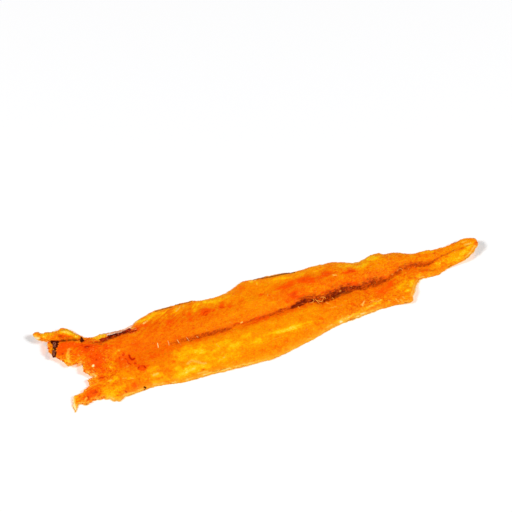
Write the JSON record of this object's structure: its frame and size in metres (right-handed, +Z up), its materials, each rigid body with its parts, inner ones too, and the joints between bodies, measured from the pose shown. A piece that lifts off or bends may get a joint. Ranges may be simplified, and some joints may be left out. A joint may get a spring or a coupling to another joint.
{
  "type": "dried blue whiting fillet",
  "caption": "Dried fish fillet lying flat, flesh side up, with a forked torn head end, a raised tail tip, a dark line along the middle and a thin curled edge.",
  "frame": {"origin": "centre of the footprint, on the surface the fillet lies on", "axes": "+X along the fillet to the tail, +Y to the back edge, +Z up out of the flesh side"},
  "size_m": [0.1768, 0.0386, 0.0044],
  "materials": {
    "dried_flesh": "translucent amber to orange dried flesh, satin with a few glossy spots, golden where it is thin",
    "dark_membrane": "thin brown-black dried membrane, slightly glossy",
    "pin_bone": "fine pale bones, matte",
    "pale_skin": "thin cream rim of dried skin, translucent"
  },
  "bodies": {
    "root": {"fillet": "dried_flesh"}
  },
  "joints": []
}
